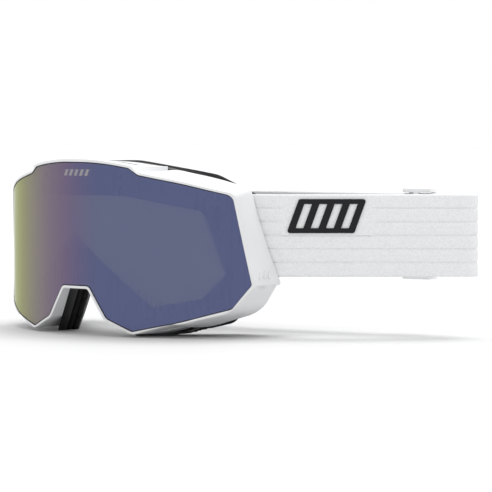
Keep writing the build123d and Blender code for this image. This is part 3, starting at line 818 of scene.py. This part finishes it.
EXIT_AT = left_route.legs[0][2] + left_route.legs[1][2] / 2
FIELD = (EXIT_AT - FIELD_BEFORE, EXIT_AT + FIELD_AFTER)
left_strap = ribbon("left_strap", left_route, 1, START_SLANT, FIELD)
right_strap = ribbon("right_strap", right_route, -1, START_SLANT)
rear_strap = ribbon("rear_strap", rear_route, 1, plain=True)
straps = {
    "strap_left": (left_strap, left_route, "folded", ("strap_pin_left", "slider_left")),
    "strap_right": (right_strap, right_route, "folded", ("strap_pin_right", "slider_right")),
    "strap_rear": (rear_strap, rear_route, "hung", ("slider_left", "slider_right")),
}
for node, (strap, route, held, rests_on) in straps.items():
    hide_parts(node)

# %% [markdown]
# ## Stitching
# Rows of stitches run across the side straps: two by the slider and one by the pin. A stitch is
# a short thread that dips into the strap at both ends, so each is a small bead drawn out along
# its row.

# %% Stitches
STITCH_PITCH, STITCH_FILL = 1.9 * MM, 0.42
STITCH_HALF = (0.28 * MM, 0.30 * MM, STITCH_PITCH * STITCH_FILL, 1.0)
SEAM_LIFT, SEAM_HALF, PIN_SEAM_HALF = STRAP_THICK / 2 - 0.12 * MM, 18.2 * MM, 15.0 * MM
END_SEAM_BACK, SEAM_GAP, PIN_SEAM_AT = 2.5 * MM, 2.5 * MM, 16 * MM


def stitches(name, route, outward, rows, across_half):
    """Rows of stitches across the strap at distances along its route."""
    sewn = bmesh.new()
    for distance in rows:
        place, way = route.at(distance)
        out = Vector((way.y, -way.x)) * outward
        turn = Matrix.Rotation(atan2(out.y, out.x), 4, "Z")
        for k in range(int(2 * across_half / STITCH_PITCH)):
            z = STRAP_MID_Z - across_half + (k + 0.5) * STITCH_PITCH
            centre = (place.x + out.x * SEAM_LIFT, place.y + out.y * SEAM_LIFT, z)
            stand = Matrix.Translation(centre) @ turn @ Matrix.Diagonal(STITCH_HALF)
            bmesh.ops.create_uvsphere(sewn, u_segments=8, v_segments=6, radius=1.0, matrix=stand)
    piece = mesh_from(sewn, name)
    wear(piece, thread_white)
    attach(piece, "goggles")
    print(name, len(piece.data.polygons), "faces")


def end_rows(route):
    """Distances of the two rows near the end of a route."""
    last = route.length - END_SEAM_BACK
    return [last, last - SEAM_GAP]


stitches("left_end_stitches", left_route, 1, end_rows(left_route), SEAM_HALF)
stitches("right_end_stitches", right_route, -1, end_rows(right_route), SEAM_HALF)
stitches("left_pin_stitches", left_route, -1, [PIN_SEAM_AT], PIN_SEAM_HALF)
stitches("right_pin_stitches", right_route, 1, [PIN_SEAM_AT], PIN_SEAM_HALF)

# %% [markdown]
# ## Grip lines
# Three wavy beads of clear silicone run inside the rear strap, to hold it on a helmet. Each is a
# round bead swept along the strap: a ring of points, extruded step by step on the route. The
# sliders reach the beads' ends where they stand at their limits.

# %% Grip lines
BEAD_HALF, BEAD_SIDES, BEAD_STEPS = 0.55 * MM, 8, 90
WAVE_HALF, STEPS_PER_WAVE = 1.6 * MM, 15
GRIP_LEVELS, GRIP_CLEAR = (-12 * MM, 0.0, 12 * MM), 4 * MM


def grip_line(name, level, route, start, end):
    bead = bmesh.new()
    ring = bmesh.ops.create_circle(bead, segments=BEAD_SIDES, radius=BEAD_HALF)["verts"]
    edges = bead.edges[:]
    previous = Matrix.Identity(4)
    for k in range(BEAD_STEPS + 1):
        place, way = route.at(start + (end - start) * k / BEAD_STEPS)
        inner = Vector((-way.y, way.x)) * (STRAP_THICK / 2)
        z = STRAP_MID_Z + level + WAVE_HALF * sin(k * 2 * pi / STEPS_PER_WAVE)
        stand = Matrix((
            (-way.y, 0, way.x, place.x + inner.x),
            (way.x, 0, way.y, place.y + inner.y),
            (0, 1, 0, z),
            (0, 0, 0, 1),
        ))
        if k:
            made = bmesh.ops.extrude_edge_only(bead, edges=edges)["geom"]
            ring = [g for g in made if isinstance(g, bmesh.types.BMVert)]
            edges = [g for g in made if isinstance(g, bmesh.types.BMEdge)]
        bmesh.ops.transform(bead, verts=ring, matrix=stand @ previous.inverted())
        previous = stand
    bmesh.ops.holes_fill(bead, edges=bead.edges, sides=BEAD_SIDES)
    bmesh.ops.recalc_face_normals(bead, faces=bead.faces)
    piece = mesh_from(bead, name)
    wear(piece, silicone)
    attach(piece, "goggles")


GRIP_FROM = 2 * OVERLAP * MM + GRIP_CLEAR
GRIP_TO = rear_route.length - GRIP_FROM
for number, level in enumerate(GRIP_LEVELS):
    grip_line("grip_line_" + str(number + 1), level, rear_route, GRIP_FROM, GRIP_TO)
print("grip lines run", round((GRIP_TO - GRIP_FROM) * 1000), "mm")
